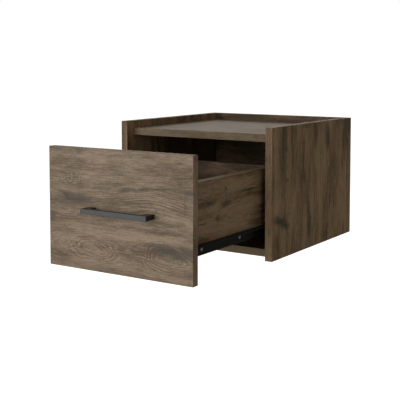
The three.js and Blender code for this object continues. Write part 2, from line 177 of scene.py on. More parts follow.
# Links what a finish varies: its colour, its roughness, and a relief of some height
def wired(tree, colour, roughness=None, relief=None, strength=0.0, depth=0.0):
    sockets = tree.nodes["Principled BSDF"].inputs
    tree.links.new(colour, sockets["Base Color"])
    if roughness is not None:
        tree.links.new(roughness, sockets["Roughness"])
    if relief is not None:
        bump = addNode(tree, "Bump", {"Height": relief, "Strength": strength, "Distance": depth})
        tree.links.new(bump.outputs["Normal"], sockets["Normal"])


# Printed oak decor, one dictionary for each print. Its figures are bell-shaped hills on the print, in mm:
# along and across give the middle, long and wide the reach, and turn leans it, in degrees. lift pushes the
# growth lines down across the grain (minus: up), spread parts them round an oval, rings draws them
# stronger, arcs draws ovals round the middle, gloom is a grey smudge, pale a light patch (minus: a dark
# one) and speckle a freckled one. Outside from and to, in metres, the print repeats.
def figure(along, across, long, wide, turn=0, lift=0, **effects):
    return {
        "along": along * mm, "across": across * mm, "long": long * mm, "wide": wide * mm, "turn": turn,
        "lift": lift * mm, **effects,
    }


frontFigures = [
    figure(40, 218, 60, 6, gloom=0.3),
    figure(75, 219, 10, 5, gloom=0.35),
    figure(185, 217, 10, 6, gloom=0.25),
    figure(225, 219, 12, 4, gloom=0.3),
    figure(122, 189, 34, 13, pale=0.55),
    figure(57, 166, 23, 15, lift=3, gloom=0.2, speckle=1.3),
    figure(88, 171, 7, 4, pale=0.6),
    figure(28, 147, 12, 3, 10, pale=0.5),
    figure(112, 140, 20, 3.5, pale=0.7),
    figure(36, 137, 16, 5, -25, gloom=0.4),
    figure(64, 132, 40, 8, -4, lift=6, gloom=0.7),
    figure(50, 119, 50, 10, gloom=0.25),
    figure(236, 138, 85, 26, lift=-15, rings=1.2),
    figure(235, 185, 44, 11, pale=0.85),
    figure(178, 124, 36, 8, pale=0.5),
    figure(225, 74, 55, 9, pale=0.8),
    figure(120, 72, 70, 10, pale=0.35),
    figure(85, 112, 50, 5, pale=0.3),
    figure(240, 167, 60, 2.2, 2, pale=0.75),
    figure(178, 153, 14, 4, 12, gloom=0.75),
    figure(200, 154, 12, 3.5, gloom=0.6),
    figure(222, 158, 14, 3, 6, gloom=0.8),
    figure(256, 161, 22, 2.2, gloom=0.7),
    figure(314, 159, 16, 5, gloom=0.7),
    figure(307, 140, 4, 18, gloom=0.45),
    figure(247, 121, 12, 4, 30, gloom=0.35),
    figure(260, 96, 12, 6, lift=4, rings=0.4, pale=0.3),
    figure(5, 92, 10, 10, gloom=0.65),
    figure(275, 79, 18, 5, pale=0.45, speckle=0.5),
    figure(199, 57, 6, 2, gloom=0.7),
    figure(300, 55, 40, 12.5, gloom=0.62),
    figure(292, 63, 7, 7, gloom=-0.5),
    figure(256, 57, 30, 9, gloom=0.5),
    figure(276, 78, 30, 6, pale=0.6),
    figure(272, 43, 50, 25, spread=0.9, arcs=0.8),
    figure(105, 42, 58, 22, spread=0.9, arcs=0.75),
    figure(26, 44, 34, 20, spread=0.9, arcs=0.6, speckle=0.3),
    figure(45, 130, 55, 18, pale=-0.9),
    figure(50, 185, 60, 28, pale=-0.35),
    figure(158, 204, 22, 14, pale=-0.5),
    figure(300, 130, 22, 14, pale=-0.7),
    figure(190, 92, 50, 15, pale=0.7),
]
frontDecor = {
    "dark": (0.110, 0.079, 0.051), "body": (0.215, 0.159, 0.110), "light": (0.330, 0.258, 0.190),
    "smoke": (0.078, 0.070, 0.058), "from": (-0.07, -0.06), "to": (0.40, 0.29),
    "contrast": 1.1, "hueDepth": 0.3, "drift": 0.006,
    "figures": frontFigures,
}
sideFigures = [
    figure(190, 40, 75, 20, gloom=0.22),
    figure(76, 22, 8, 16, 8, gloom=0.8),
    figure(70, 44, 11, 20, 14, lift=5, gloom=0.85),
    figure(60, 62, 7, 12, gloom=0.55),
    figure(210, 58, 5, 3.5, gloom=0.7),
    figure(193, 60, 4, 3, gloom=0.6),
    figure(176, 61, 5, 3, gloom=0.5),
    figure(149, 63, 5, 4.5, gloom=0.7),
    figure(110, 18, 30, 12, pale=0.8),
    figure(85, 90, 50, 10, pale=0.9),
    figure(190, 122, 40, 2.2, pale=1.5),
    figure(185, 131, 48, 2.8, 3, gloom=0.8),
    figure(146, 137, 14, 5, gloom=0.65),
    figure(252, 140, 6, 22, gloom=0.5),
    figure(90, 154, 34, 7, -16, gloom=0.5),
    figure(40, 160, 30, 9, gloom=0.8),
    figure(34, 118, 16, 18, arcs=0.6, gloom=0.15, speckle=1),
    figure(31, 110, 4, 4, pale=0.8),
    figure(226, 243, 30, 12, -6, lift=4, gloom=0.8),
    figure(225, 214, 16, 14, pale=0.85),
    figure(165, 225, 34, 14, pale=0.35),
    figure(50, 222, 45, 14, pale=0.3),
    figure(135, 268, 34, 20, gloom=0.1, speckle=0.3),
    figure(95, 248, 85, 24, pale=1.1),
    figure(215, 17, 42, 10, pale=0.9),
    figure(150, 190, 80, 16, pale=0.5),
    figure(200, 46, 60, 9, gloom=0.25),
    figure(205, 345, 12, 5, gloom=0.7),
    figure(245, 354, 22, 6, gloom=0.6),
    figure(120, 318, 40, 12, pale=0.3),
]
sideDecor = {
    "dark": (0.090, 0.060, 0.034), "body": (0.212, 0.146, 0.084), "light": (0.318, 0.232, 0.142),
    "smoke": (0.050, 0.042, 0.030), "from": (-0.07, -0.06), "to": (0.33, 0.43),
    "contrast": 1.3, "hueDepth": 1.0, "drift": 0.012,
    "figures": sideFigures,
}
shelfFigures = [
    figure(70, 180, 60, 12, lift=10, rings=0.4, gloom=0.3),
    figure(250, 90, 50, 10, lift=-8, rings=0.4, gloom=0.35),
    figure(180, 250, 60, 14, pale=0.35),
]
shelfDecor = {
    "dark": (0.118, 0.084, 0.051), "body": (0.196, 0.145, 0.093), "light": (0.279, 0.213, 0.144),
    "smoke": (0.085, 0.075, 0.060), "from": (-0.07, -0.06), "to": (0.42, 0.40),
    "contrast": 0.75, "hueDepth": 0.5, "drift": 0.012,
    "figures": shelfFigures,
}
boxFigures = [
    figure(104, 78, 20, 6, gloom=0.8),
    figure(104, 86, 22, 16, lift=-5, arcs=0.4, speckle=0.7),
    figure(102, 106, 5, 4, gloom=0.55),
    figure(112, 104, 6, 4, pale=0.5),
    figure(56, 84, 16, 4.5, gloom=0.65),
    figure(28, 83, 22, 6, gloom=0.45),
    figure(183, 93.5, 30, 2.2, 4, gloom=0.95),
    figure(138, 84, 22, 2.2, 16, gloom=0.45),
    figure(196, 98.5, 20, 2, 2, pale=1.6),
    figure(140, 110, 60, 14, pale=1),
    figure(76, 54, 6, 6, gloom=0.65),
    figure(26, 51.5, 12, 1.4, gloom=0.9),
    figure(218, 29, 26, 8, gloom=0.65),
    figure(160, 45, 55, 18, pale=1),
    figure(60, 36, 50, 8, pale=0.6),
    figure(170, 64, 14, 4, pale=0.35),
]
boxDecor = {
    "dark": (0.085, 0.057, 0.034), "body": (0.190, 0.133, 0.082), "light": (0.290, 0.212, 0.136),
    "smoke": (0.040, 0.035, 0.027), "from": (-0.04, -0.03), "to": (0.34, 0.20),
    "contrast": 1.5, "hueDepth": 0.8, "drift": 0.010,
    "figures": boxFigures,
}
decors = {
    "front_decor": frontDecor, "side_decor": sideDecor, "shelf_decor": shelfDecor, "box_decor": boxDecor,
}

# How every print is drawn
printing = {
    "ringPitch": 4.4 * mm,  # from one growth line to the next
    "sway": 7.0,  # most that noise shifts a growth line, in radians
    "plainRings": 0.04,  # strength of the growth lines, and what a figure's rings add to it
    "figuredRings": 0.34,
    "softBend": 0.6,  # share of the bend that streaks, fibres and pores follow
    "drift": ((5, 12, 0), 2),  # the noise that bends the growth lines
    # how far noise pushes a place about: for the edges of patches, and for the ovals
    "frayed": {"stretch": (45, 110, 1), "detail": 3.0, "roughness": 0.65, "reach": (0.030, 0.010, 0)},
    "bent": {"stretch": (14, 34, 1), "detail": 1.0, "roughness": 0.5, "reach": (0.060, 0.022, 0)},
    "broken": (1.2, 0.4),  # patches are broken up by this much of the fine streaks, on top of this much
    "paleTone": 0.24,  # tone that a pale patch adds
    "ramp": (0.14, 0.86),
    "hueRange": (0.34, 0.66),
    # what the two hues add to each channel
    "rosy": (0.06, -0.03, 0.02),
    "olive": (-0.05, 0.02, -0.08),
    "spotRange": (0.48, 0.64),
    "poreRange": (0.56, 0.72),
    "poreInk": 0.55,
    "gloss": (0.3, 0.7, 0.60, 0.50),  # roughness falls from 0.60 to 0.50 as the streaks rise
    "poreDepth": -0.8,
    "relief": (0.20, 0.10 * mm),
}

# Clouds of noise on the print: stretch along and across the grain, detail, roughness and start
printClouds = {
    "broad": ((5, 16, 0), 2, 0.5, (2, 9, 0)),
    "band": ((6, 50, 0), 1, 0.5, (3, 2, 0)),
    "streak": ((18, 130, 0), 2, 0.6),
    "fine": ((45, 430, 0), 3, 0.6, (7, 3, 0)),
    "fibre": ((150, 1300, 0), 2, 0.6, (1, 6, 0)),
    "ray": ((420, 70, 0), 1, 0.5, (8, 4, 0)),
    "pore": ((90, 2100, 0), 2, 0.5, (6, 2, 0)),
    "sway": ((22, 60, 0), 2, 0.5, (4, 1, 0)),
    "hue": ((13, 34, 0), 2, 0.5, (1, 8, 0)),
    "darkSpot": ((190, 420, 0), 3, 0.65),
    "lightSpot": ((170, 460, 0), 3, 0.65, (3, 7, 0)),
}
grainClouds = ("band", "streak", "fine", "fibre", "pore")  # these bend with the growth lines
toneShares = {"broad": 1.10, "band": 0.75, "streak": 0.60, "fine": 1.15, "fibre": 0.85, "ray": 0.20}
contrasted = ("broad", "band", "streak")  # a print's own contrast acts on these


# Sum of the figures' hills for one effect. A hill is e to the power of minus the squared distance from its
# middle; where a patch has a flat top, that power is squared. For spread the hill is multiplied by the way
# across, and for arcs by a wave of the distance.
def hillSum(tree, place, figures, effect, sway=0.0):
    total = 0.0
    for spot in figures:
        weight = spot.get(effect, 0)
        if not weight:
            continue
        away = addNode(tree, "Mapping", {
            "Vector": place, "Location": (spot["along"], spot["across"], 0),
            "Rotation": (0, 0, math.radians(spot["turn"])), "Scale": (spot["long"], spot["wide"], 1),
        }, vector_type="TEXTURE").outputs[0]
        distance = vectorCalc(tree, "DOT_PRODUCT", away, away)
        isRound = effect in ("lift", "spread", "rings")
        power = distance if isRound else times(tree, distance, distance)
        hill = calc(tree, "POWER", math.exp(-1), power)
        if effect == "spread":
            hill = times(tree, hill, addNode(tree, "SeparateXYZ", {0: away}).outputs[1])
            weight *= -spot["wide"]
        if effect == "arcs":
            turns = spot["wide"] * 2 * math.pi / printing["ringPitch"]
            oval = timesPlus(tree, calc(tree, "SQRT", distance), turns, sway)
            hill = times(tree, times(tree, hill, distance), calc(tree, "SINE", oval))
        total = timesPlus(tree, hill, weight, total)
    return total


# Place on the print, pushed about by noise as far one way as the other
def pushed(tree, place, onPrint, push):
    noise = addNode(tree, "TexNoise", {
        "Vector": vectorCalc(tree, "MULTIPLY", place, push["stretch"]), "Scale": 1.0,
        "Detail": push["detail"], "Roughness": push["roughness"],
    }).outputs["Color"]
    half = tuple(-reach / 2 for reach in push["reach"])
    return vectorCalc(tree, "ADD", onPrint, vectorCalc(tree, "MULTIPLY_ADD", noise, push["reach"], half))


# Growth lines are level lines of across + drift + hills, so they bend round each figure. The tone is 0.5
# plus share * (cloud - 0.5) for each cloud, plus growth lines, the board's painted light and shade, and the
# pale patches.
def decorMaterial(slot):
    look = decors[slot]
    figures = look["figures"]
    material, tree = newMaterial(slot, {"Specular IOR Level": 0.3})
    place = addNode(tree, "UVMap", uv_map="Grain").outputs[0]
    onPrint = vectorCalc(tree, "WRAP", place, (*look["to"], 1), (*look["from"], -1))
    frayed = pushed(tree, place, onPrint, printing["frayed"])
    bent = pushed(tree, place, onPrint, printing["bent"])

    lift, spread, figured = (
        hillSum(tree, onPrint, figures, effect) for effect in ("lift", "spread", "rings")
    )
    lift = calc(tree, "ADD", lift, spread)
    drift = timesPlus(tree, cloud(tree, place, *printing["drift"]), look["drift"] * 2, lift)
    split = addNode(tree, "SeparateXYZ", {0: place})
    level = calc(tree, "ADD", split.outputs[1], drift)
    softLevel = timesPlus(tree, drift, printing["softBend"], split.outputs[1])
    grain = addNode(tree, "CombineXYZ", {0: split.outputs[0], 1: softLevel}).outputs[0]
    clouds = {
        name: cloud(tree, grain if name in grainClouds else place, *values)
        for name, values in printClouds.items()
    }

    tone = 0.5
    for name, share in toneShares.items():
        share *= look["contrast"] if name in contrasted else 1
        tone = timesPlus(tree, clouds[name], share, calc(tree, "SUBTRACT", tone, share / 2))
    sway = times(tree, clouds["sway"], printing["sway"])
    wave = timesPlus(tree, level, 2 * math.pi / printing["ringPitch"], sway)
    ringShare = timesPlus(tree, figured, printing["figuredRings"], printing["plainRings"])
    arcs = hillSum(tree, bent, figures, "arcs", sway)
    rings = timesPlus(tree, calc(tree, "SINE", wave), ringShare, arcs)
    tone = timesPlus(tree, rings, clouds["fine"], tone)
    # Painted light and shade of the board: darker where shade falls, lighter where sheen catches an edge band
    paintedLight = addNode(tree, "Attribute", attribute_name="PaintedLight").outputs["Fac"]
    tone = calc(tree, "ADD", tone, paintedLight)
    broken = timesPlus(tree, clouds["fine"], *printing["broken"])
    pale = times(tree, hillSum(tree, frayed, figures, "pale"), broken)
    tone = timesPlus(tree, pale, printing["paleTone"], tone)
    colour = rampOf(tree, tone, *printing["ramp"], look["dark"], look["body"], look["light"])

    hue = eased(tree, clouds["hue"], *printing["hueRange"])
    rosy = tuple(1 + step * look["hueDepth"] for step in printing["rosy"])
    olive = tuple(1 + step * look["hueDepth"] for step in printing["olive"])
    colour = blended(tree, 1.0, colour, blended(tree, hue, olive, rosy), "MULTIPLY")
    smoky = times(tree, hillSum(tree, frayed, figures, "gloom"), broken, clamp=True)
    colour = blended(tree, smoky, colour, look["smoke"])
    speckle = times(tree, hillSum(tree, frayed, figures, "speckle"), broken)
    for name, ink in (("lightSpot", look["light"]), ("darkSpot", look["smoke"])):
        spot = eased(tree, clouds[name], *printing["spotRange"])
        colour = blended(tree, times(tree, spot, speckle, clamp=True), colour, ink)
    pore = eased(tree, clouds["pore"], *printing["poreRange"])
    colour = blended(tree, times(tree, pore, printing["poreInk"]), colour, look["dark"])

    roughness = eased(tree, clouds["streak"], *printing["gloss"])
    relief = timesPlus(tree, pore, printing["poreDepth"], clouds["fibre"])
    wired(tree, colour, roughness, relief, *printing["relief"])
    return material


# Finishes without a print. Each has clouds of noise or cells on Object coordinates. tone says how much of
# each makes the colour, ramp where the colours start and end, roughness which one drives it and between
# what values, and relief which one raises the surface, how strongly and how high.
finishes = {
    "chipboard": {  # pressed flakes of pale wood inside a bored hole or a groove
        "constants": {"Roughness": 0.85},
        "cells": {"flake": ((1, 1, 1.8), 700)},
        "tone": {"flake": 1.0}, "ramp": (0.0, 1.0),
        "colours": [(0.20, 0.13, 0.07), (0.42, 0.30, 0.18), (0.58, 0.45, 0.29)],
        "relief": ("flakeEdge", 0.6, 0.3 * mm),
    },
    "hardboard": {  # pressed brown fibres
        "constants": {"Roughness": 0.8, "Specular IOR Level": 0.3},
        "clouds": {"fibre": ((900, 260, 600), 4, 0.7), "mottle": ((40, 40, 40), 3)},
        "tone": {"fibre": 0.6, "mottle": 0.5}, "ramp": (0.35, 0.75),
        "colours": [(0.070, 0.042, 0.024), (0.125, 0.078, 0.045), (0.19, 0.125, 0.075)],
        "relief": ("fibre", 0.4, 0.15 * mm),
    },
    "beech": {  # turned, pale, with short darker flecks along the dowel
        "constants": {"Roughness": 0.6, "Specular IOR Level": 0.35},
        "clouds": {"growth": ((260, 30, 260), 3), "fleck": ((1400, 240, 1400), 2)},
        "tone": {"growth": 1.0}, "ramp": (0.3, 0.7),
        "colours": [(0.44, 0.27, 0.13), (0.58, 0.40, 0.22), (0.68, 0.50, 0.31)],
        "flecks": {"cloud": "fleck", "range": (0.60, 0.72), "ink": 0.7, "colour": (0.30, 0.16, 0.07)},
        "relief": ("growth", 0.3, 0.1 * mm),
    },
    "black_steel": {  # powder coat: fine orange peel, greyer where the coat lies thin
        "constants": {"Specular IOR Level": 0.10},
        "clouds": {"peel": ((1500, 1500, 1500), 2), "thin": ((35, 35, 35), 4, 0.6)},
        "tone": {"thin": 1.0}, "ramp": (0.35, 0.65),
        "colours": [(0.0024, 0.0052, 0.0084), (0.0056, 0.0092, 0.0138)],
        "roughness": ("thin", 0.3, 0.7, 0.34, 0.50),
        "relief": ("peel", 0.25, 0.05 * mm),
    },
    "handle_black": {  # satin coat with a slate sheen, fine marks along the bar
        "constants": {"Metallic": 0.9},
        "clouds": {"marks": ((60, 2600, 2600), 3, 0.6), "wear": ((25, 60, 60), 3)},
        "tone": {"wear": 0.65, "marks": 0.35}, "ramp": (0.35, 0.65),
        "colours": [(0.037, 0.040, 0.043), (0.061, 0.064, 0.068)],
        "roughness": ("tone", 0.35, 0.65, 0.26, 0.36),
        "relief": ("marks", 0.08, 0.03 * mm),
    },
    "nylon": {  # moulded black: faint flow marks, matt where it rolls
        "constants": {"Specular IOR Level": 0.45},
        "clouds": {"flow": ((180, 60, 60), 3), "scuff": ((300, 1500, 1500), 3, 0.65)},
        "tone": {"flow": 1.0}, "ramp": (0.3, 0.7),
        "colours": [(0.020, 0.020, 0.021), (0.034, 0.034, 0.035)],
        "roughness": ("scuff", 0.3, 0.7, 0.38, 0.60),
        "relief": ("scuff", 0.15, 0.05 * mm),
    },
    "zinc": {  # bright plating: small cloudy crystals and a thin yellow and blue film
        "constants": {"Metallic": 1.0},
        "cells": {"crystal": ((1, 1, 1), 1600)},
        "clouds": {"film": ((300, 300, 300), 3)},
        "tone": {"film": 1.0}, "ramp": (0.35, 0.65),
        "colours": [(0.28, 0.31, 0.35), (0.35, 0.37, 0.38), (0.38, 0.37, 0.33)],
        "roughness": ("crystal", 0.0, 1.0, 0.26, 0.42),
        "relief": ("crystal", 0.10, 0.03 * mm),
    },
}


# Colour by the sum of share * cloud, with the rest linked as the finish says
def plainMaterial(slot):
    look = finishes[slot]
    material, tree = newMaterial(slot, look["constants"])
    place = addNode(tree, "TexCoord").outputs["Object"]
    noise = {name: cloud(tree, place, *values) for name, values in look.get("clouds", {}).items()}
    for name, (stretch, scale) in look.get("cells", {}).items():
        squeezed = vectorCalc(tree, "MULTIPLY", place, stretch)
        cells = addNode(tree, "TexVoronoi", {"Vector": squeezed, "Scale": scale})
        noise[name] = addNode(tree, "SeparateColor", {0: cells.outputs["Color"]}).outputs[0]
        noise[name + "Edge"] = cells.outputs["Distance"]
    tone = 0.0
    for name, share in look["tone"].items():
        tone = timesPlus(tree, noise[name], share, tone)
    noise["tone"] = tone
    colour = rampOf(tree, tone, *look["ramp"], *look["colours"])
    if "flecks" in look:
        flecks = look["flecks"]
        fleck = eased(tree, noise[flecks["cloud"]], *flecks["range"], 0.0, flecks["ink"])
        colour = blended(tree, fleck, colour, flecks["colour"])
    roughness = None
    if "roughness" in look:
        driver, *values = look["roughness"]
        roughness = eased(tree, noise[driver], *values)
    raised, strength, depth = look["relief"]
    wired(tree, colour, roughness, noise[raised], strength, depth)
    return material


materials = {slot: decorMaterial(slot) for slot in decors}
materials.update({slot: plainMaterial(slot) for slot in finishes})
print("materials made:", len(materials))


# Each row divided by its own length
def unit(rows):
    return rows / np.linalg.norm(rows, axis=1, keepdims=True)


# Each direction turned a quarter to the left
def leftOf(rows):
    return np.stack([-rows[:, 1], rows[:, 0]], 1)


# Which way a line turns from the first direction to the second: above zero to the left
def turning(first, second):
    return first[:, 0] * second[:, 1] - first[:, 1] * second[:, 0]


# Step that keeps one unit from both sides of a corner: the sum of their normals over 1 + their product
def mitreOf(first, second):
    return (first + second) / (1 + (first * second).sum(1, keepdims=True))


# Outline pulled inwards: each point moves along the mitre of its two sides, so the sides stay parallel.
# distances holds one number for each row, and the result is rows x points x 2.
def pulledIn(outline, distances):
    before = unit(outline - np.roll(outline, 1, 0))
    after = unit(np.roll(outline, -1, 0) - outline)
    return outline[None] + np.asarray(distances)[:, None, None] * mitreOf(leftOf(before), leftOf(after))[None]


# Outline with each corner turned into an arc: the arc starts and ends radius * tan(half the turn) from the
# corner and swings round a middle that lies one radius to the side of the line
def rounded(points, radii, steps):
    points = np.asarray(points, float)
    radii = np.broadcast_to(np.asarray(radii, float), len(points))[:, None]
    before = unit(points - np.roll(points, 1, 0))
    after = unit(np.roll(points, -1, 0) - points)
    turn = np.arctan2(turning(before, after), (before * after).sum(1))[:, None]
    start = points - before * radii * np.tan(np.abs(turn) / 2)
    middle = start + np.sign(turn) * leftOf(before) * radii
    angle = turn * np.linspace(0, 1, steps + 1)[None]
    spoke = start - middle
    x = spoke[:, :1] * np.cos(angle) - spoke[:, 1:] * np.sin(angle)
    y = spoke[:, :1] * np.sin(angle) + spoke[:, 1:] * np.cos(angle)
    return (middle[:, None] + np.stack([x, y], 2)).reshape(-1, 2)


# Prism with eased ends: the outline carried along its axis, pulled in over a quarter circle at both ends.
# plane names the two axes of the outline and then the axis that it is carried along.
def easedPrism(outline, low, high, ease, plane, steps):
    outline = np.asarray(outline, float)
    x, y = outline.T
    if np.sum(x * np.roll(y, -1) - np.roll(x, -1) * y) < 0:
        outline = outline[::-1]
    angle = np.linspace(0, math.pi / 2, steps + 1)
    inset = ease * (1 - np.sin(angle))
    rise = ease * (1 - np.cos(angle))
    distances = np.concatenate([inset, inset[::-1]])
    heights = np.concatenate([low + rise, high - rise[::-1]])
    rings = pulledIn(outline, distances)
    rows, count = rings.shape[:2]
    local = np.concatenate([rings, np.broadcast_to(heights[:, None, None], (rows, count, 1))], 2)
    points = np.empty((rows * count, 3))
    points[:, ["xyz".index(axis) for axis in plane]] = local.reshape(-1, 3)
    here = np.arange(count)
    there = (here + 1) % count
    row = (np.arange(rows - 1) * count)[:, None]
    quads = np.stack([row + here, row + there, row + count + there, row + count + here], 2).reshape(-1, 4)
    faces = [*quads.tolist(), here[::-1].tolist(), (here + (rows - 1) * count).tolist()]
    if plane not in ("xyz", "yzx", "zxy"):
        faces = [face[::-1] for face in faces]
    return points, faces


turnedSides = {  # faces round a turned body
    "screw": 32, "bolt": 32, "dowel": 112, "axle": 48, "bore": 48, "cam": 64, "wallHole": 32, "roller": 96,
    "floor": 64,
}


# Turned body: the profile of (radius, way along the axis) swung round the axis in even steps. A closed
# profile makes a ring, an open one gets a flat disc at both ends. ripple(angle, along, radius) gives back
# a changed radius.
def turnedBody(profile, kind, ripple=None, closed=False):
    profile = np.asarray(profile, float)
    sides = turnedSides[kind]
    angle = np.arange(sides) * 2 * math.pi / sides
    radius, along = profile[:, :1], profile[:, 1:]
    if ripple is not None:
        radius = ripple(angle[None], along, radius)
    points = np.stack([radius * np.cos(angle), radius * np.sin(angle), along + 0 * angle], 2).reshape(-1, 3)
    here = np.arange(sides)
    there = (here + 1) % sides
    rows = len(profile) if closed else len(profile) - 1
    row = (np.arange(rows) * sides)[:, None]
    above = ((np.arange(rows) + 1) % len(profile) * sides)[:, None]
    quads = np.stack([row + here, row + there, above + there, above + here], 2).reshape(-1, 4)
    faces = quads.tolist()
    if not closed:
        faces += [here[::-1].tolist(), (here + (len(profile) - 1) * sides).tolist()]
    return points, faces


def cylinder(radius, start, end, kind):
    return turnedBody([(radius, start), (radius, end)], kind)


# Carries a shape drawn along +Z to a place, with +Z turned to the direction of one axis
def aimed(shape, place, direction):
    points, faces = shape
    forward = np.asarray(direction, float)
    across = np.roll(np.abs(forward), 1)
    over = np.cross(forward, across)
    return points @ np.stack([across, over, forward]) + np.asarray(place, float), faces


# Polygon mesh in the scene, in metres
def meshObject(name, points, faces):
    mesh = bpy.data.meshes.new(name)
    mesh.from_pydata(points.tolist(), [], faces)
    mesh.validate()
    piece = bpy.data.objects.new(name, mesh)
    bpy.context.scene.collection.objects.link(piece)
    return piece


def setMaterials(piece, *names):
    piece.data.materials.clear()
    for name in names:
        piece.data.materials.append(materials[name])


# Puts the result of a piece's modifiers in the place of its mesh
def settled(piece):
    old = piece.data
    piece.data = bpy.data.meshes.new_from_object(piece.evaluated_get(bpy.context.evaluated_depsgraph_get()))
    piece.modifiers.clear()
    bpy.data.meshes.remove(old)


# Takes each shape away from a piece, or joins it on. What is cut open shows the slot.
def carved(piece, shapes, slot, operation="DIFFERENCE"):
    for shape in shapes:
        cutter = meshObject(piece.name + "_cutter", *shape)
        setMaterials(cutter, slot)
        modifier = piece.modifiers.new("cut", "BOOLEAN")
        modifier.operation = operation
        modifier.object = cutter
        modifier.solver = "EXACT"
        modifier.material_mode = "TRANSFER"
        settled(piece)
        bpy.data.objects.remove(cutter)


crispAngle = 35  # degrees


# Edges over the crisp angle stay sharp, and large faces shade flat beside their eased edges
def finished(piece, node):
    piece.data.shade_smooth()
    piece.data.set_sharp_from_angle(angle=math.radians(crispAngle))
    even = piece.modifiers.new("evenShading", "WEIGHTED_NORMAL")
    even.keep_sharp = True
    settled(piece)
    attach(piece, bodyOfNode[node])
    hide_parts(node)


# Finished piece: a shape in one material, less its cuts
def addPiece(node, name, shape, slot, cuts):
    piece = meshObject(name, *shape)
    setMaterials(piece, slot)
    carved(piece, cuts, slot)
    finished(piece, node)


# Fasteners run along one axis. towards is their way in, its first number counted outwards from the middle
# of the nightstand. All other numbers are in mm, and head, shank, neck and thread are radii. cone is the
# depth of a sunk head, dome the height of a raised one, and cross a recess's reach, width and depth.
def screw(towards, head, cone, dome, shank, pitch, cross):
    return {
        "form": "screw", "towards": towards, "head": head, "cone": cone, "dome": dome, "shank": shank,
        "pitch": pitch, "cross": cross,
    }


def plain(form, towards):
    return {"form": form, "towards": towards}


fasteners = {
    "back_screw": screw((0, -1, 0), 5.0, 3.2, 0.0, 2.6, 2.6, (3.2, 1.1, 2.4)),
    "drawer_back_screw": screw((-1, 0, 0), 4.0, 2.4, 0.0, 2.0, 2.0, (2.5, 0.9, 1.9)),
    "drawer_rail_screw": screw((-1, 0, 0), 3.6, 0.0, 0.6, 1.8, 1.4, (1.9, 0.8, 0.45)),
    "cabinet_rail_screw": screw((1, 0, 0), 4.4, 0.0, 1.2, 2.9, 2.0, (2.5, 0.9, 0.9)),
    "handle_screw": screw((0, -1, 0), 4.2, 0.0, 2.4, 2.0, 0.8, (2.3, 0.9, 1.5)),
    "shelf_cam": plain("cam", (0, 0, 1)),
    "bottom_cam": plain("cam", (0, 0, 1)),
    "drawer_cam": plain("cam", (1, 0, 0)),
    "shelf_bolt": plain("bolt", (1, 0, 0)),
    "bottom_bolt": plain("bolt", (1, 0, 0)),
    "drawer_bolt": plain("bolt", (0, -1, 0)),
    "drawer_dowel": plain("dowel", (0, 1, 0)),
    "cabinet_rail_axle": plain("axle", (-1, 0, 0)),
    "drawer_rail_axle": plain("axle", (1, 0, 0)),
}
easeSteps = 3  # faces across an eased edge, and round a board's corner
threadRows = 6  # for each turn of a thread
threadGap = 0.3  # from the shoulder to the thread's first row
crossEase = 0.2  # of a cross recess's width
screwForm = {
    "domeStart": 0.35,  # radians from the middle of a domed top to its first row
    "domeRows": 7,
    "flat": 0.5,  # share of a flat head that lies inside its first row
    "rim": 0.15,
    "plain": 0.1,  # share of the shank that has no thread
    "core": 0.88, "rise": 0.24,  # the thread's, as shares of the shank's radius
    "tip": 2, "tipEnd": 0.94,  # its length over the shank's radius, and how much of the cone is there
    "tipRows": 5,
}
camSize = {"chamfer": 0.4, "cross": (4.0, 1.6, 2.2)}
boltSize = {
    "head": 3.4, "headLength": 3.0, "neck": 2.2, "neckLength": 8.0, "shank": 3.0, "thread": 2.8,
    "threadLength": 11.0, "pitch": 2.4, "ease": 0.5,
    "core": 0.86, "rise": 0.28,  # as shares of the thread's radius
    "point": 0.2,  # of the core
}
dowelSize = {
    "bevel": 1.0, "bevelRows": ((1, 0), (0.3, 0.35)),  # shares of the bevel: inwards and along
    "rows": 9, "flute": 0.22, "flutes": 14,
}
axleSize = {
    "shank": 3.0, "headLength": 1.0, "ease": 0.35, "domeRows": 6,
    "domeEnd": 0.3,  # radians left flat at the top
}
borePlay = 0.3
boreRun = 2.0  # how far a bore's tool starts before the face


# Screw thread: a ridge that climbs one pitch for each turn, so its height depends on along / pitch -
# angle / turn, and fades in and out over one pitch
def threaded(pitch, depth, start, stop):
    def ripple(angle, along, radius):
        phase = (along / pitch - angle / (2 * math.pi)) % 1
        ridge = np.clip(1 - np.abs(phase - 0.5) * 4, 0, 1)
        inside = np.clip((along - start) / pitch, 0, 1) * np.clip((stop - along) / pitch, 0, 1)
        return radius + depth * (ridge - 0.5) * inside
    return ripple


def inMetres(shape):
    return shape[0] * mm, shape[1]


# Plus sign with four arms, a quarter turned four times and eased where it ends in the metal
def crossShape(reach, width, depth):
    half = width / 2
    quarter = np.array([[half, half], [reach, half], [reach, -half]])
    turns = [np.array([[cos, -sin], [sin, cos]]) for cos, sin in ((1, 0), (0, 1), (-1, 0), (0, -1))]
    outline = np.concatenate([quarter[::-1] @ turn for turn in turns[::-1]])
    return easedPrism(outline, -boreRun, depth, width * crossEase, "xyz", easeSteps)


# Head, shank and thread of a screw from its flat or domed top at 0 to its tip. A dome's rows lie at
# (head * sin, dome * (1 - cos)), and the tip is a cone.
def screwShape(size, length):
    form = screwForm
    head, shank, core = size["head"], size["shank"], size["shank"] * form["core"]
    swell = np.linspace(form["domeStart"], math.pi / 2, form["domeRows"])
    top = [(head * math.sin(a), size["dome"] * (1 - math.cos(a))) for a in swell]
    if size["cone"] > 0:
        top = [(head * form["flat"], 0), (head - form["rim"], 0), (head, form["rim"])]
    neck = size["dome"] + size["cone"]
    taper = length - form["tip"] * shank
    thread = [(core, s) for s in np.arange(neck + threadGap, taper, size["pitch"] / threadRows)]
    tipRows = np.linspace(0, form["tipEnd"], form["tipRows"])
    tip = [(core * (1 - t), taper + (length - taper) * t) for t in tipRows]
    threadStart = neck + form["plain"] * (length - neck)
    ripple = threaded(size["pitch"], shank * form["rise"], threadStart, taper + shank)
    return turnedBody([*top, (shank, neck), *thread, *tip], "screw", ripple)


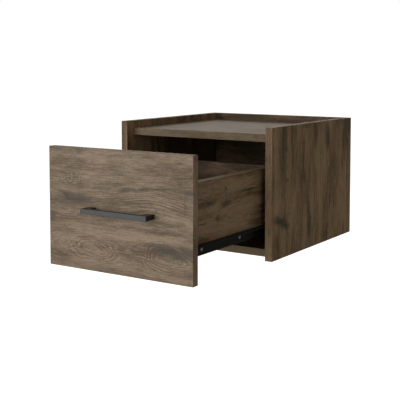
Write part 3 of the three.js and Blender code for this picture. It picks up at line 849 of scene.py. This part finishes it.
# Cam bolt: eased head, thin neck, shank with an eased shoulder, then the thread on its core
def boltShape(length):
    size = boltSize
    head, neck, shank, thread, ease = (size[name] for name in ("head", "neck", "shank", "thread", "ease"))
    neckStart, threadStart, threadEnd = size["headLength"], length - size["threadLength"], length - thread
    neckEnd, core = neckStart + size["neckLength"], thread * size["core"]
    profile = [
        (head - ease, 0), (head, ease), (head, neckStart - ease), (head - ease, neckStart), (neck, neckStart),
        (neck, neckEnd), (shank - ease, neckEnd), (shank, neckEnd + ease), (shank, threadStart),
        *((core, s) for s in np.arange(threadStart + threadGap, threadEnd, size["pitch"] / threadRows)),
        (core, threadEnd), (core * size["point"], length),
    ]
    ripple = threaded(size["pitch"], thread * size["rise"], threadStart, length)
    return turnedBody(profile, "bolt", ripple)


# Dowel with both ends bevelled. The radius is less by flute * cos(flutes * angle) where that is positive.
def dowelShape(radius, length):
    size = dowelSize
    bevel = size["bevel"]
    start = [(radius - bevel * inward, bevel * along) for inward, along in size["bevelRows"]]
    rows = [(radius, s) for s in np.linspace(bevel, length - bevel, size["rows"])]
    end = [(reach, length - along) for reach, along in start[::-1]]

    def flutes(angle, along, reach):
        return reach - size["flute"] * np.clip(np.cos(angle * size["flutes"]), 0, 1)
    return turnedBody([*start, *rows, *end], "dowel", flutes)


# Axle with a riveted head, domed by cos and sin of the same angle
def axleShape(head, length):
    size = axleSize
    shoulder = length - size["headLength"]
    swell = np.linspace(0, math.pi / 2 - size["domeEnd"], size["domeRows"])
    rim = shoulder + size["ease"]
    dome = [(head * math.cos(a), rim + (length - rim) * math.sin(a) / math.sin(swell[-1])) for a in swell]
    profile = [(size["shank"], 0), (size["shank"], shoulder), (head, shoulder), *dome]
    return turnedBody(profile, "axle")


# Longest fastener name that the node's own name starts with
def familyOf(node):
    return max((name for name in fasteners if node.startswith(name)), key=len)


# Where a fastener starts, which way it runs, how long and how thick it is, from its solid's box
def runOf(node):
    low, high = np.array(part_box(node))
    middle = (low + high) / 2
    out = 1 if middle[0] > 0 else -1
    towards = np.array(fasteners[familyOf(node)]["towards"]) * (out, 1, 1)
    axis = int(np.argmax(np.abs(towards)))
    start = middle.copy()
    start[axis] = low[axis] if towards[axis] > 0 else high[axis]
    return start, towards, (high - low)[axis] / mm, (high - low)[(axis + 2) % 3] / 2 / mm


fastenerNodes = [node for node in bodyOfNode if any(node.startswith(name) for name in fasteners)]


# Turned shape of a fastener, in mm. A cam is a disc with a chamfer at both ends.
def shapeOf(node):
    size = fasteners[familyOf(node)]
    length, radius = runOf(node)[2:]
    if size["form"] == "screw":
        return screwShape(size, length)
    if size["form"] == "bolt":
        return boltShape(length)
    if size["form"] == "dowel":
        return dowelShape(radius, length)
    if size["form"] == "axle":
        return axleShape(radius, length)
    chamfer = camSize["chamfer"]
    disc = [(radius - chamfer, 0), (radius, chamfer), (radius, length - chamfer), (radius - chamfer, length)]
    return turnedBody(disc, "cam")


# Hole that a fastener needs in what it passes
def boreOf(node):
    size = fasteners[familyOf(node)]
    length, radius = runOf(node)[2:]
    end = length + borePlay
    if size["form"] == "screw":
        shank = size["shank"] + borePlay
        if size["cone"] > 0:
            wide = size["head"] + borePlay
            return turnedBody([(wide, -boreRun), (wide, 0), (shank, size["cone"]), (shank, end)], "bore")
        return cylinder(shank, size["dome"] - boreRun, end, "bore")
    if size["form"] in ("bolt", "axle"):
        shank = {"bolt": boltSize, "axle": axleSize}[size["form"]]["shank"] + borePlay
        return cylinder(shank, -borePlay, end, "bore")
    start = -boreRun if size["form"] == "cam" else -borePlay
    return cylinder(radius + borePlay, start, end, "cam")


# Hollow in a cam: room for the bolt's head, then for its neck
def hollowOf():
    size = boltSize
    head, neck, rest = size["head"] + borePlay, size["neck"] + borePlay, size["headLength"] + borePlay
    profile = [(head, -borePlay), (head, rest), (neck, rest), (neck, rest + size["neckLength"])]
    return turnedBody(profile, "bore")


leastReach = 0.1 * mm  # boxes that meet by less only touch


# Holes in a node for all fasteners of its own body whose boxes it meets
def boresIn(node):
    low, high = np.array(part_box(node))
    isCam = node in fastenerNodes
    found = []
    for fastener in fastenerNodes:
        if isCam and fasteners[familyOf(fastener)]["form"] != "bolt":
            continue
        otherLow, otherHigh = np.array(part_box(fastener))
        meets = np.all((otherLow < high - leastReach) & (otherHigh > low + leastReach))
        if meets and bodyOfNode[fastener] == bodyOfNode[node]:
            start, towards = runOf(fastener)[:2]
            found.append(aimed(inMetres(hollowOf() if isCam else boreOf(fastener)), start, towards))
    return found


# Fastener: its turned shape, less the cross in a screw or a cam and the bolt's hollow in a cam
def makeFastener(node):
    size = fasteners[familyOf(node)]
    start, towards = runOf(node)[:2]
    isCam = size["form"] == "cam"
    cuts = boresIn(node) if isCam else []
    if isCam or size["form"] == "screw":
        cross = crossShape(*(camSize if isCam else size)["cross"])
        cuts.insert(0, aimed(inMetres(cross), start, towards))
    addPiece(node, node + "_finished", aimed(inMetres(shapeOf(node)), start, towards), slotOfNode[node], cuts)


# Boards. through is the axis across the thickness, grain the axis that the print runs along, and shown the
# side (-1 or 1 along through) that lies at the print's own start. The fifth value is painted light and shade:
# it lightens the print (minus: darkens it), first on the two faces and then on the edge bands, as painted
# shade on the drawer back and the back panel, and as painted sheen on edge bands such as the drawer side's
# top edge.
# band is how far along the print these bands start.
def board(through, grain, shown, start, paintedLight, band=0.31):
    return {"through": through, "grain": grain, "shown": shown, "start": start, "paintedLight": paintedLight, "band": band}


boards = {
    "side_panel_left": board("x", "z", 1, (0.11, 0.19), (0.0, 0.04)),
    "side_panel_right": board("x", "z", 1, (0.0, 0.0), (0.0, 0.22), 0.55),
    "top_shelf": board("z", "x", 1, (0.0, 0.0), (-0.02, -0.02)),
    "bottom_panel": board("z", "x", 1, (0.21, 0.17), (0.0, 0.3)),
    "back_panel": board("y", "x", -1, (0.05, 0.30), (-0.28, -0.05)),
    "drawer_front": board("y", "x", -1, (0.0, 0.0), (0.0, -0.02)),
    "drawer_side_left": board("x", "y", 1, (0.20, 0.06), (0.0, 0.3)),
    "drawer_side_right": board("x", "y", 1, (0.0, 0.0), (0.12, 0.55)),
    "drawer_back": board("y", "x", -1, (0.10, 0.15), (-0.50, -0.05)),
    "drawer_bottom": board("z", "y", 1, (0.15, 0.02), (0.0, 0.0)),
}
boardEdge = {
    "ease": 0.45 * mm,
    "mostEase": 1 / 8,  # of the thickness
    "corner": 0.9 * mm,
}
otherSide = (0.173, 0.118)  # shift of the print between the two faces of a board
bandStep = (0.07, 0.041)  # shift of the print from one edge band to the next
bandInset = 0.030  # how far it lies back across the print
faceCosine = 0.98  # faces that lean further than this are part of the edge


# Values of all the items of a mesh, in rows of width
def valuesOf(items, name, width, kind):
    values = np.empty(len(items) * width, kind)
    items.foreach_get(name, values)
    return values.reshape(-1, width)


# Print coordinates for each face corner: way along and across the grain, measured from the board's lowest
# corner. On an edge band the print runs along the band.
def layGrain(piece, look, low):
    mesh = piece.data
    layer = mesh.uv_layers.new(name="Grain")
    index = valuesOf(mesh.loops, "vertex_index", 1, np.int32)[:, 0]
    points = valuesOf(mesh.vertices, "co", 3, float)[index] - low
    sizes = valuesOf(mesh.polygons, "loop_total", 1, np.int32)[:, 0]
    normals = np.repeat(valuesOf(mesh.polygons, "normal", 3, float), sizes, 0)
    through, grain = "xyz".index(look["through"]), "xyz".index(look["grain"])
    across = 3 - through - grain
    start = np.array(look["start"])
    facing = normals[:, through] * look["shown"]
    onFace = np.stack([points[:, grain], points[:, across]], 1) + start
    onFace[facing < 0] += otherSide
    alongEnds = np.abs(normals[:, grain]) > np.abs(normals[:, across])
    run = np.where(alongEnds, points[:, across], points[:, grain])
    side = np.where(alongEnds, normals[:, grain], normals[:, across]) > 0
    number = alongEnds * 2 + side
    alongBand = run + look["band"] + number * bandStep[0]
    acrossBand = points[:, through] + number * bandStep[1] - bandInset
    onBand = np.stack([alongBand, acrossBand], 1) + start
    isFace = np.abs(facing) > faceCosine
    grainPlaces = np.where(isFace[:, None], onFace, onBand)
    layer.uv.foreach_set("vector", grainPlaces.astype(np.float32).ravel())
    # Painted light and shade, one value on the faces and one on the edge bands
    paintedLight = np.where(isFace, look["paintedLight"][0], look["paintedLight"][1])
    mesh.attributes.new("PaintedLight", "FLOAT", "CORNER").data.foreach_set("value", paintedLight.astype(np.float32))


# Four corners, turning left from the lowest
def boxOutline(low, high):
    return np.array([[low[0], low[1]], [high[0], low[1]], [high[0], high[1]], [low[0], high[1]]])


# The drawer's hardboard bottom is printed on its upper face alone, where normals rise by more than half
def rawUnderside(mesh):
    isRaw = valuesOf(mesh.polygons, "normal", 3, float)[:, 2] < 0.5
    mesh.polygons.foreach_set("material_index", isRaw.astype(np.int32))


# Board: its box with rounded corners, carried through the thickness, then bored and grooved
def makeBoard(node):
    look = boards[node]
    low, high = np.array(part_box(node))
    plane = {"x": "yzx", "y": "zxy", "z": "xyz"}[look["through"]]
    a, b, c = ("xyz".index(axis) for axis in plane)
    outline = rounded(boxOutline(low[[a, b]], high[[a, b]]), boardEdge["corner"], easeSteps)
    ease = min(boardEdge["ease"], (high[c] - low[c]) * boardEdge["mostEase"])
    piece = meshObject(node + "_faced", *easedPrism(outline, low[c], high[c], ease, plane, easeSteps))
    setMaterials(piece, slotOfNode[node] if slotOfNode[node] in decors else "box_decor")
    carved(piece, boresIn(node) + groovesIn(node), "chipboard")
    layGrain(piece, look, low)
    if node == "drawer_bottom":
        setMaterials(piece, "box_decor", "hardboard")
        rawUnderside(piece.data)
    finished(piece, node)


# Grooves for the drawer's bottom, and the holes for the wall screws
boardCuts = {
    "groovePlay": 0.3 * mm,
    "grooveEase": 0.05 * mm,
    "wallHole": 3.0 * mm,
    "wallHoleOut": 128 * mm,  # from the middle
    "overrun": 2 * mm,
}


# A groove is the drawer bottom's box with play. The wall holes lie halfway between drawer and cabinet boards.
def groovesIn(node):
    cuts = boardCuts
    low, high = np.array(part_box(node))
    if node in ("drawer_front", "drawer_side_left", "drawer_side_right"):
        trayLow, trayHigh = np.array(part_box("drawer_bottom"))
        trayLow, trayHigh = trayLow - cuts["groovePlay"], trayHigh + cuts["groovePlay"]
        if node != "drawer_front":
            trayHigh[1] += cuts["overrun"]
        tray = boxOutline(trayLow[:2], trayHigh[:2])
        return [easedPrism(tray, trayLow[2], trayHigh[2], cuts["grooveEase"], "xyz", 1)]
    if node == "back_panel":
        boxTop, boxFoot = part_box("drawer_side_left")[1][2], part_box("drawer_side_left")[0][2]
        heights = [(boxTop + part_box("top_shelf")[0][2]) / 2, (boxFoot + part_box("bottom_panel")[1][2]) / 2]
        hole = cylinder(cuts["wallHole"], -cuts["overrun"], high[1] - low[1] + cuts["overrun"], "wallHole")
        return [
            aimed(hole, (out, low[1], height), (0, 1, 0))
            for height in heights
            for out in (-cuts["wallHoleOut"], cuts["wallHoleOut"])
        ]
    return []


for node in boards:
    makeBoard(node)
print("boards made:", len(boards))

for node in fastenerNodes:
    makeFastener(node)
print("fasteners made:", len(fastenerNodes))

# Handle: a bar with a leg at each end, folded out of one flat length
handleSize = {
    "bar": 8.5 * mm,  # depth of the bar
    "leg": 16 * mm,
    "outerCorner": 1.4 * mm,
    "innerCorner": 0.8 * mm,
    "footCorner": 0.6 * mm,
    "cornerSteps": 6,
    "ease": 0.4 * mm,
    "easeSteps": 5,
}


# The outline of bar and legs seen from above, carried up and eased at both ends
def makeHandle():
    size = handleSize
    (left, bar, low), (right, face, high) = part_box("handle")
    outer, inner, foot = size["outerCorner"], size["innerCorner"], size["footCorner"]
    corners = [
        (left, bar), (right, bar), (right, face), (right - size["leg"], face),
        (right - size["leg"], bar + size["bar"]), (left + size["leg"], bar + size["bar"]),
        (left + size["leg"], face), (left, face),
    ]
    outline = rounded(corners, [outer, outer, foot, foot, inner, inner, foot, foot], size["cornerSteps"])
    shape = easedPrism(outline, low, high, size["ease"], "xyz", size["easeSteps"])
    addPiece("handle", "bar_handle", shape, "handle_black", boresIn("handle"))


# Slides of folded sheet. fold is the middle line of the sheet, counted in mm: out from the middle of the
# nightstand, and up. room is how much of the drawer rail's upper flange is cut away at its rear end. stops
# are tabs across the channel, each with its start and end counted from the channel's front end.
slides = {
    "drawer_rail": {
        "fold": [(139.5, -80.1), (153.1, -80.1), (153.1, -60.8), (162.4, -60.8), (162.4, -64.0)],
        "room": 26.0, "roomReach": 12, "roomCorner": 1.0, "roomEase": 0.05,
    },
    "cabinet_rail": {
        "fold": [(154.8, -79.6), (164.4, -79.6), (164.4, -58.7), (154.8, -58.7)],
        "stops": [(25.3, 28.3), (289.7, 292.7)],
        "stopHeight": 2.0, "stopGap": 0.6, "stopCorners": [0.3, 0.3, 0.8, 0.8], "stopEase": 0.2,
    },
}
slideSheet = {"thickness": 1.2, "bend": 0.5, "edge": 0.3, "ease": 0.12}
slideSteps = {"bend": 5, "corner": 4, "ease": 2}


# Section of folded sheet: the fold line moved half a thickness to either side, joined at its two ends. A bend
# has the inner radius on its hollow side and one thickness more on the other.
def foldedSection(fold):
    fold = np.asarray(fold, float)
    thickness, bend, edge = slideSheet["thickness"], slideSheet["bend"], slideSheet["edge"]
    along = unit(np.diff(fold, axis=0))
    side = leftOf(along)
    offset = np.concatenate([side[:1], mitreOf(side[:-1], side[1:]), side[-1:]]) * thickness / 2
    turn = turning(along[:-1], along[1:])
    onLeft = np.concatenate([[edge], np.where(turn > 0, bend, bend + thickness), [edge]])
    onRight = np.concatenate([[edge], np.where(turn < 0, bend, bend + thickness), [edge]])
    points = np.concatenate([fold + offset, (fold - offset)[::-1]])
    return rounded(points, np.concatenate([onLeft, onRight[::-1]]), slideSteps["bend"])


# Shape in mm drawn for the right side, brought to either side. A mirrored face runs the other way round.
def mirroredOut(shape, out):
    points, faces = shape
    return points * (out * mm, mm, mm), [face[::out] for face in faces]


# Slide: its section carried from front to rear, with its room cut out or its stops joined on
def makeSlide(node):
    family, side = node.rsplit("_", 1)
    size, fold, sheet = slides[family], slides[family]["fold"], slideSheet["thickness"]
    out = -1 if side == "left" else 1
    low, high = np.array(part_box(node))
    front, rear = low[1] / mm, high[1] / mm
    section = foldedSection(fold) * (out * mm, mm)
    shape = easedPrism(section, low[1], high[1], slideSheet["ease"] * mm, "xzy", easeSteps)
    piece = meshObject(node + "_folded", *shape)
    setMaterials(piece, "black_steel")
    if "room" in size:
        web, flange = fold[1][0] + sheet / 2, fold[2][1] + sheet
        room = boxOutline((rear - size["room"], fold[-1][1] - sheet), (rear + boreRun, flange))
        room = rounded(room, size["roomCorner"], slideSteps["corner"])
        shape = easedPrism(room, web, web + size["roomReach"], size["roomEase"], "yzx", slideSteps["ease"])
        carved(piece, [mirroredOut(shape, out)], "black_steel")
    for start, stop in size.get("stops", ()):
        foot, top = fold[0][1] - sheet / 2, fold[0][1] + sheet / 2 + size["stopHeight"]
        tab = boxOutline((front + start, foot), (front + stop, top))
        tab = rounded(tab, size["stopCorners"], slideSteps["corner"])
        inner, outer = fold[0][0], fold[1][0] - size["stopGap"]
        shape = easedPrism(tab, inner, outer, size["stopEase"], "yzx", slideSteps["ease"])
        carved(piece, [mirroredOut(shape, out)], "black_steel", "UNION")
    carved(piece, boresIn(node), "black_steel")
    finished(piece, node)


# Roller: a ring that turns on its axle. Between its hub and its rim the face is sunk, and six ribs cross it:
# the face lies as deep as the hollow, and only ribDrop deep where the angle meets a rib.
rollerSize = {
    "axle": 3.0 * mm, "play": 0.3 * mm, "hub": 1.5 * mm, "hubEase": 0.15 * mm, "rim": 1.6 * mm,
    "hollow": 1.2 * mm, "slope": 0.25 * mm, "chamfer": 0.7 * mm, "crown": 0.08 * mm, "ribs": 6,
    "ribWidth": 0.13,  # half of it, as a share of the way to the next rib
    "ribDrop": 0.3 * mm,  # from the face down to a rib
    "slack": 0.001 * mm,  # points this near to the sunk face belong to it
}


def makeRoller(node):
    size = rollerSize
    low, high = np.array(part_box(node))
    middle, radius, half = (low + high) / 2, (high[2] - low[2]) / 2, (high[0] - low[0]) / 2
    bore, sunk = size["axle"] + size["play"], half - size["hollow"]
    hub, rim, chamfer = bore + size["hub"], radius - size["rim"], size["chamfer"]
    slope, crown = size["slope"], size["crown"]
    face = np.array([
        (bore, half), (bore + size["hubEase"], half), (hub, half), (hub + slope, sunk), (rim - slope, sunk),
        (rim, half), (radius - chamfer, half),
    ])
    tread = [(radius - crown, half - chamfer), (radius, 0), (radius - crown, chamfer - half)]
    shell = np.concatenate([face, tread, face[::-1] * (1, -1)])[::-1]
    points, faces = turnedBody(shell, "roller", closed=True)
    angle = np.arctan2(points[:, 1], points[:, 0])
    reach = np.hypot(points[:, 0], points[:, 1])
    nearRib = np.abs((angle * size["ribs"] / (2 * math.pi)) % 1 - 0.5) < size["ribWidth"]
    isSunk = (np.abs(np.abs(points[:, 2]) - sunk) < size["slack"]) & (reach > hub) & (reach < rim)
    points[isSunk & nearRib, 2] *= (half - size["ribDrop"]) / sunk
    addPiece(node, node + "_moulded", aimed((points, faces), middle, (1, 0, 0)), "nylon", [])


makeHandle()
for family in slides:
    for side in ("left", "right"):
        makeSlide("%s_%s" % (family, side))
for family in ("cabinet", "drawer"):
    for side in ("left", "right"):
        makeRoller("%s_roller_%s" % (family, side))
print("handle, slides and rollers made")

# Pale floor and soft studio light
studio = {
    "floorDrop": 0.42,  # floor below the nightstand
    "floorRadius": 40.0,
    "floorHole": 0.001,  # radius of the flat disc in its middle
    "floorThickness": 0.02,
    "floorColour": (0.90, 0.90, 0.89),
    "floorMottle": 0.985,  # its darkest places, as a share of its colour
    "floorGlow": 0.92,
    "worldSeen": 1.0,
    "worldFill": 0.22,
    "worldTint": (1.0, 0.88, 0.74),
    "litPlace": (0, -0.3, 0),  # every softbox faces it
}
softboxes = {
    "key": {"place": (-0.7, -2.6, 0.25), "size": (3.0, 1.9), "power": 42, "tint": (1.0, 0.99, 0.97)},
    "side": {"place": (2.5, -1.7, 0.0), "size": (1.4, 1.4), "power": 5, "tint": (1.0, 0.90, 0.78)},
    "rear": {"place": (-2.2, 2.3, 0.9), "size": (2.6, 1.4), "power": 19, "tint": (1.0, 0.95, 0.88)},
}


# Floor: a flat disc below the nightstand that glows, so it is white in the picture
def addFloor():
    middle, edge, under = studio["floorHole"], studio["floorRadius"], -studio["floorThickness"]
    profile = [(middle, under), (edge, under), (edge, 0), (middle, 0)]
    points, faces = turnedBody(profile, "floor")
    points = points + (0, 0, float(cadBox[0][2]) - studio["floorDrop"])
    floor = meshObject("floor", points, faces)
    material, tree = newMaterial("paleFloor", {
        "Roughness": 0.9, "Emission Color": (1, 1, 1, 1), "Emission Strength": studio["floorGlow"],
    })
    grey = cloud(tree, addNode(tree, "TexCoord").outputs["Object"], (3, 3, 3), 4)
    darkest = tuple(value * studio["floorMottle"] for value in studio["floorColour"])
    wired(tree, blended(tree, grey, studio["floorColour"], darkest))
    floor.data.materials.append(material)
    floor.visible_diffuse = floor.visible_glossy = False


# Area light that faces the lit place: its own +Z points from there to its place
def addSoftbox(name, box):
    data = bpy.data.lights.new(name, "AREA")
    data.shape = "RECTANGLE"
    data.size, data.size_y = box["size"]
    data.energy = box["power"]
    data.color = box["tint"]
    light = bpy.data.objects.new(name, data)
    x, y, z = np.array(box["place"]) - studio["litPlace"]
    light.visible_camera = False
    light.location = box["place"]
    light.rotation_euler = (math.atan2(math.hypot(x, y), z), 0, math.atan2(x, -y))
    bpy.context.scene.collection.objects.link(light)


# World: white where the camera sees it, dimmer and warmer where it lights the nightstand
def addWorld():
    world = bpy.data.worlds.new("studio")
    bpy.context.scene.world = world
    world.use_nodes = True
    tree = world.node_tree
    background = tree.nodes["Background"]
    seen = addNode(tree, "LightPath").outputs["Is Camera Ray"]
    fill = tuple(channel * studio["worldFill"] for channel in studio["worldTint"])
    tree.links.new(blended(tree, seen, fill, (studio["worldSeen"],) * 3), background.inputs["Color"])


addFloor()
for boxName, softbox in softboxes.items():
    addSoftbox(boxName, softbox)
addWorld()
bpy.context.scene.view_settings.view_transform = "Standard"
print("studio made")
